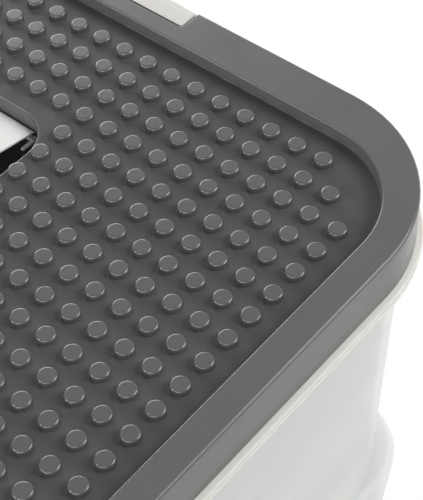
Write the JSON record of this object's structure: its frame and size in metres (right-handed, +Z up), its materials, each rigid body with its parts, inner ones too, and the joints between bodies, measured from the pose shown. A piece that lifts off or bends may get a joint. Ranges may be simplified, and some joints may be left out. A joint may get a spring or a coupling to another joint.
{
  "type": "pet food bin",
  "caption": "Translucent rectangular food bin with a drawn-in neck, a studded clip-on lid and a hinged hatch in the lid for scooping dry food.",
  "frame": {"origin": "centre of the base, on the surface that the bin stands on", "axes": "+Z up, +X along the long side of the lid, +Y to the back, where the hatch is hinged"},
  "size_m": [0.283, 0.202, 0.3296],
  "materials": {
    "clear_plastic": "translucent natural polypropylene, satin",
    "grey_plastic": "satin moulded, fine grain",
    "white_plastic": "satin moulded",
    "milky_plastic": "off-white, slightly translucent, satin",
    "seal": "dark matt silicone",
    "pin_steel": "drawn wire"
  },
  "bodies": {
    "tub": {"tub": "clear_plastic", "back_clip_pin": "pin_steel", "front_clip_pin": "pin_steel"},
    "lid": {"lid": "grey_plastic", "lid_gasket": "seal", "hatch_gasket": "seal", "hatch_pin_left": "grey_plastic", "hatch_pin_right": "grey_plastic"},
    "hatch": {"hatch_flap": "white_plastic"},
    "back_clip": {"back_clip": "milky_plastic"},
    "front_clip": {"front_clip": "milky_plastic"}
  },
  "joints": [
    {"name": "lid_lift", "type": "slide", "parent": "tub", "child": "lid", "axis": [0, 0, 1], "range_m": [0, 0.015]},
    {"name": "hatch_hinge", "type": "hinge", "parent": "lid", "child": "hatch", "pos_m": [0, 0.0418, 0.3122], "axis": [-1, 0, 0], "range_deg": [-11, 80]},
    {"name": "back_clip_swing", "type": "hinge", "parent": "tub", "child": "back_clip", "pos_m": [0, 0.096, 0.272], "axis": [-1, 0, 0], "range_deg": [0, 150]},
    {"name": "front_clip_swing", "type": "hinge", "parent": "tub", "child": "front_clip", "pos_m": [0, -0.096, 0.272], "axis": [1, 0, 0], "range_deg": [0, 150]}
  ],
  "couplings": [
    {"joint": "back_clip_swing", "follows": "lid_lift", "rad_per_m": 174.5},
    {"joint": "front_clip_swing", "follows": "lid_lift", "rad_per_m": 174.5}
  ]
}
